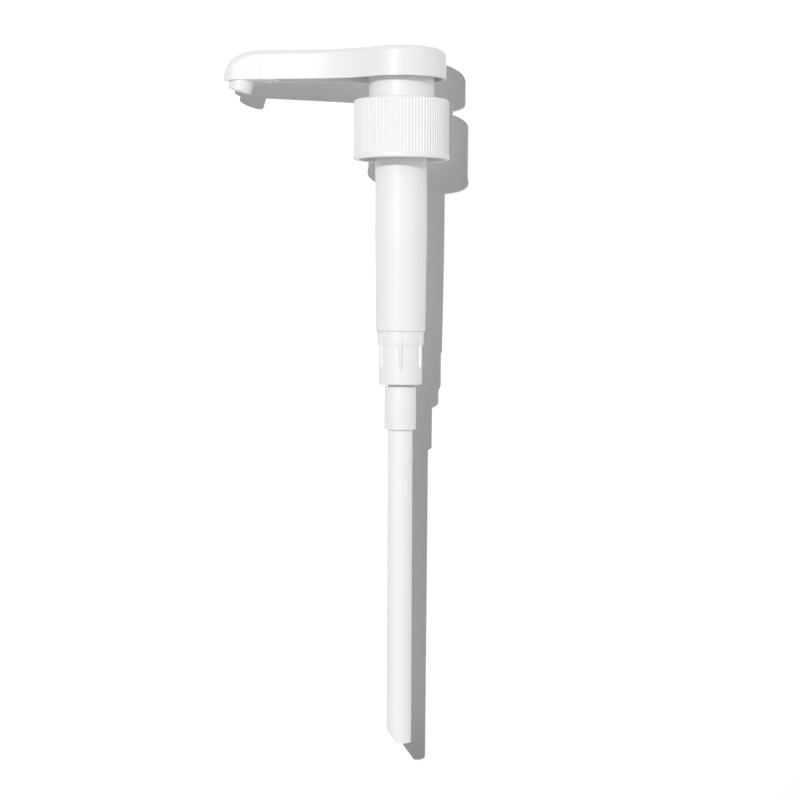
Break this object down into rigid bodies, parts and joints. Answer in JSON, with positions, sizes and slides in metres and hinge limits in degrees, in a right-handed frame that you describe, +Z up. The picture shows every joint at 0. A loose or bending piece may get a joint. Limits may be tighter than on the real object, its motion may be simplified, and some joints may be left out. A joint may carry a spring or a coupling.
{
  "type": "condiment pump dispenser",
  "caption": "Hand pump for thick sauces: round thumb pad with a long spout, ribbed screw closure for a 38 mm neck, pump body and dip tube.",
  "frame": {"origin": "on the pump's axis at the neck seat, the plane where the gasket presses on the jug's neck", "axes": "+Z up the pump's axis from the dip tube to the head; the spout points along -X; the front is -Y"},
  "size_m": [0.1033, 0.0436, 0.3146],
  "materials": {
    "gloss_white": "glossy injection-moulded polypropylene, white",
    "satin_white": "satin injection-moulded polypropylene, white",
    "tube_white": "extruded polyethylene, off-white and slightly translucent",
    "soft_seal": "white silicone",
    "steel": "stainless spring wire and polished balls"
  },
  "bodies": {
    "pump_body": {"body_tube": "satin_white", "lock_collar": "satin_white", "stem_wiper": "soft_seal", "neck_gasket": "soft_seal", "return_spring": "steel", "valve_housing": "satin_white", "housing_ring": "soft_seal", "ball_cage": "satin_white", "tube_ferrule": "satin_white", "dip_tube": "tube_white"},
    "closure": {"closure": "satin_white"},
    "plunger": {"piston": "satin_white", "piston_seal": "soft_seal"},
    "head": {"head": "gloss_white", "nose_cap": "gloss_white", "nose_ring": "soft_seal", "nozzle": "gloss_white", "stem": "satin_white", "outlet_seat": "satin_white"},
    "outlet_ball": {"outlet_ball": "steel"},
    "inlet_ball": {"inlet_ball": "steel"}
  },
  "joints": [
    {"name": "plunger_slide", "type": "slide", "parent": "pump_body", "child": "plunger", "axis": [0, 0, 1], "range_m": [0, 0.046], "deforming": ["return_spring"]},
    {"name": "head_turn", "type": "hinge", "parent": "plunger", "child": "head", "pos_m": [0, 0, 0.0181], "axis": [0, 0, 1], "continuous": true},
    {"name": "closure_spin", "type": "hinge", "parent": "pump_body", "child": "closure", "pos_m": [0, 0, 0], "axis": [0, 0, 1], "continuous": true},
    {"name": "inlet_ball_lift", "type": "slide", "parent": "pump_body", "child": "inlet_ball", "axis": [0, 0, 1], "range_m": [0, 0.003]},
    {"name": "outlet_ball_lift", "type": "slide", "parent": "head", "child": "outlet_ball", "axis": [0, 0, 1], "range_m": [0, 0.0025]}
  ]
}
